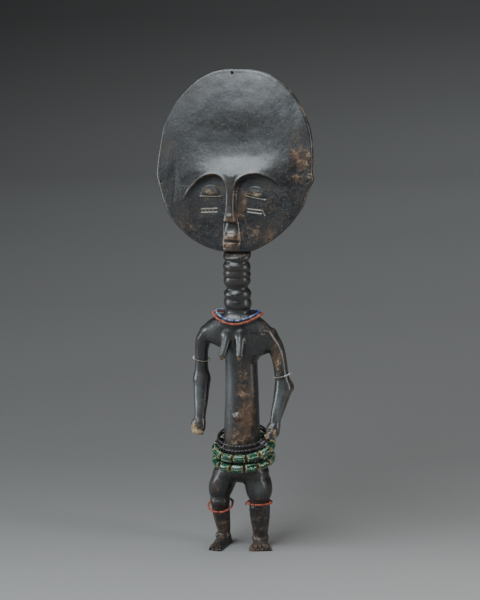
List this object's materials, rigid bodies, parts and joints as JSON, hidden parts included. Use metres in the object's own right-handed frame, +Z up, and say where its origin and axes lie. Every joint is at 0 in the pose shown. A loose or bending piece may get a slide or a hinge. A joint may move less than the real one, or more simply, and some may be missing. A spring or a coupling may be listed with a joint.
{
  "type": "fertility doll",
  "caption": "Standing female figure carved in dark wood, with a large flat oval disc head, ringed neck and free arms, dressed in strands of glass beads.",
  "frame": {"origin": "on the ground, under the middle of the whole figure's box", "axes": "+Z up along the standing figure, the figure faces -Y, +X is towards its left side"},
  "size_m": [0.1278, 0.051, 0.38],
  "materials": {
    "carved_wood": "near-black worn patina with a cool sheen, brown where rubbed",
    "dark_cord": "twisted plant-fibre cord",
    "pale_thread": "thin twisted thread",
    "red_glass": "opaque coral-red seed beads",
    "blue_glass": "opaque deep blue seed beads",
    "pale_glass": "opaque pale blue-white seed beads",
    "white_glass": "opaque white seed beads",
    "dark_glass": "near-black tube beads, dusty",
    "green_glass": "green cane beads with paler lengthwise stripes and worn cream ends"
  },
  "bodies": {
    "figure": {"carved_figure": "carved_wood", "right_arm_cord": "pale_thread", "right_arm_beads": "white_glass", "left_arm_cord": "pale_thread", "left_arm_beads": "white_glass"},
    "collar_red": {"collar_red_cord": "dark_cord", "collar_red_beads": "red_glass"},
    "collar_pale": {"collar_pale_cord": "pale_thread", "collar_blue_beads": "blue_glass", "collar_white_beads": "pale_glass"},
    "waist_dark_upper": {"waist_dark_upper_cord": "dark_cord", "waist_dark_upper_beads": "dark_glass"},
    "waist_dark_lower": {"waist_dark_lower_cord": "dark_cord", "waist_dark_lower_beads": "dark_glass"},
    "waist_green_upper": {"waist_green_upper_cord": "dark_cord", "green_bead_upper_01": "green_glass", "green_bead_upper_02": "green_glass", "green_bead_upper_03": "green_glass", "green_bead_upper_04": "green_glass", "green_bead_upper_05": "green_glass", "green_bead_upper_06": "green_glass", "green_bead_upper_07": "green_glass", "green_bead_upper_08": "green_glass", "green_bead_upper_09": "green_glass", "green_bead_upper_10": "green_glass", "green_bead_upper_11": "green_glass", "green_bead_upper_12": "green_glass", "green_bead_upper_13": "green_glass"},
    "waist_green_lower": {"waist_green_lower_cord": "dark_cord", "green_bead_lower_01": "green_glass", "green_bead_lower_02": "green_glass", "green_bead_lower_03": "green_glass", "green_bead_lower_04": "green_glass", "green_bead_lower_05": "green_glass", "green_bead_lower_06": "green_glass", "green_bead_lower_07": "green_glass", "green_bead_lower_08": "green_glass", "green_bead_lower_09": "green_glass", "green_bead_lower_10": "green_glass", "green_bead_lower_11": "green_glass", "green_bead_lower_12": "green_glass", "green_bead_lower_13": "green_glass"},
    "right_knee_strand": {"right_knee_cord": "dark_cord", "right_knee_beads": "red_glass"},
    "left_knee_strand": {"left_knee_cord": "dark_cord", "left_knee_beads": "red_glass"}
  },
  "joints": [
    {"name": "collar_red_up_neck", "type": "slide", "parent": "figure", "child": "collar_red", "axis": [0.0019, -0.0846, 0.9964], "range_m": [0, 0.028]},
    {"name": "collar_pale_up_neck", "type": "slide", "parent": "figure", "child": "collar_pale", "axis": [0.0019, -0.0846, 0.9964], "range_m": [0, 0.028]},
    {"name": "waist_dark_upper_turn", "type": "hinge", "parent": "figure", "child": "waist_dark_upper", "pos_m": [0.0074, -0.00011, 0.0902], "axis": [-0.0168, -0.2672, 0.9635], "continuous": true},
    {"name": "waist_dark_lower_turn", "type": "hinge", "parent": "figure", "child": "waist_dark_lower", "pos_m": [0.0074, -0.00001, 0.087], "axis": [-0.0167, -0.284, 0.9587], "continuous": true},
    {"name": "waist_green_upper_turn", "type": "hinge", "parent": "figure", "child": "waist_green_upper", "pos_m": [0.0083, -0.00001, 0.081], "axis": [-0.0509, -0.2334, 0.971], "continuous": true},
    {"name": "waist_green_lower_turn", "type": "hinge", "parent": "figure", "child": "waist_green_lower", "pos_m": [0.0083, -0.00001, 0.0715], "axis": [-0.0172, -0.165, 0.9861], "continuous": true},
    {"name": "right_knee_strand_turn", "type": "hinge", "parent": "figure", "child": "right_knee_strand", "pos_m": [-0.0108, -0.00111, 0.0322], "axis": [0, -0.4384, 0.8988], "continuous": true},
    {"name": "left_knee_strand_turn", "type": "hinge", "parent": "figure", "child": "left_knee_strand", "pos_m": [0.0217, -0.00081, 0.0363], "axis": [-0.0349, 0.0175, 0.9992], "continuous": true}
  ]
}
